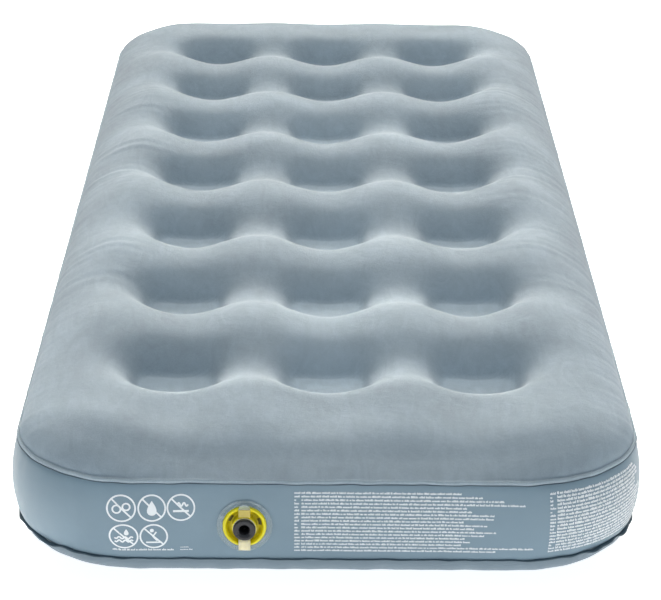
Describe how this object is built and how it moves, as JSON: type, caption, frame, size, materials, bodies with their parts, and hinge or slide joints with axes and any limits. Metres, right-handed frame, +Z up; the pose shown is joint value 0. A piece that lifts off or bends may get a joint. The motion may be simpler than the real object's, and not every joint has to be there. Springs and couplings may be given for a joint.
{
  "type": "air mattress",
  "caption": "Single camping airbed with a flocked top, welded side band, internal coil beams and a plug valve at the foot end.",
  "frame": {"origin": "on the floor under the middle of the part's bounding box", "axes": "+X across the mattress, +Y along it from the valve end to the head end, +Z up"},
  "size_m": [0.74, 1.9194, 0.193],
  "materials": {
    "flocked_top": "short pale grey-blue flock, brushed",
    "pvc_wall": "smooth satin grey-blue PVC film",
    "pvc_base": "smooth satin grey-blue PVC film",
    "pvc_seam": "two films welded together, darker",
    "coil_film": "plain PVC film",
    "clear_pvc": "clear soft PVC",
    "yellow_valve": "glossy translucent yellow PVC",
    "black_stopper": "smooth soft black plastic",
    "seal_rubber": "soft rubber",
    "strap_pvc": "translucent cream PVC"
  },
  "bodies": {
    "mattress": {"top_sheet": "flocked_top", "side_wall": "pvc_wall", "bottom_sheet": "pvc_base", "top_seam_fin": "pvc_seam", "bottom_seam_fin": "pvc_seam", "valve_flange": "clear_pvc", "valve_cup": "yellow_valve", "anchor_tab": "strap_pvc", "coil_beam_row1_left": "coil_film", "coil_beam_row1_middle": "coil_film", "coil_beam_row1_right": "coil_film", "coil_beam_row2_left": "coil_film", "coil_beam_row2_middle": "coil_film", "coil_beam_row2_right": "coil_film", "coil_beam_row3_left": "coil_film", "coil_beam_row3_middle": "coil_film", "coil_beam_row3_right": "coil_film", "coil_beam_row4_left": "coil_film", "coil_beam_row4_middle": "coil_film", "coil_beam_row4_right": "coil_film", "coil_beam_row5_left": "coil_film", "coil_beam_row5_middle": "coil_film", "coil_beam_row5_right": "coil_film", "coil_beam_row6_left": "coil_film", "coil_beam_row6_middle": "coil_film", "coil_beam_row6_right": "coil_film", "coil_beam_row7_left": "coil_film", "coil_beam_row7_middle": "coil_film", "coil_beam_row7_right": "coil_film"},
    "stopper": {"inflation_stopper": "black_stopper", "stopper_seal_ring": "seal_rubber", "strap_collar": "strap_pvc"},
    "pull_tab_body": {"pull_tab": "strap_pvc"},
    "flap_body": {"check_flap": "seal_rubber"}
  },
  "joints": [
    {"name": "stopper_pull", "type": "slide", "parent": "mattress", "child": "stopper", "axis": [0, -1, 0], "range_m": [0, 0.028]},
    {"name": "pull_tab_flex", "type": "hinge", "parent": "stopper", "child": "pull_tab_body", "pos_m": [-0.094, -0.95475, 0.0944], "axis": [1, 0, 0], "range_deg": [0, 75], "stiffness_Nm_per_rad": 0.001},
    {"name": "check_flap_swing", "type": "hinge", "parent": "stopper", "child": "flap_body", "pos_m": [-0.094, -0.92535, 0.0885], "axis": [1, 0, 0], "range_deg": [0, 50], "stiffness_Nm_per_rad": 0.0005}
  ]
}
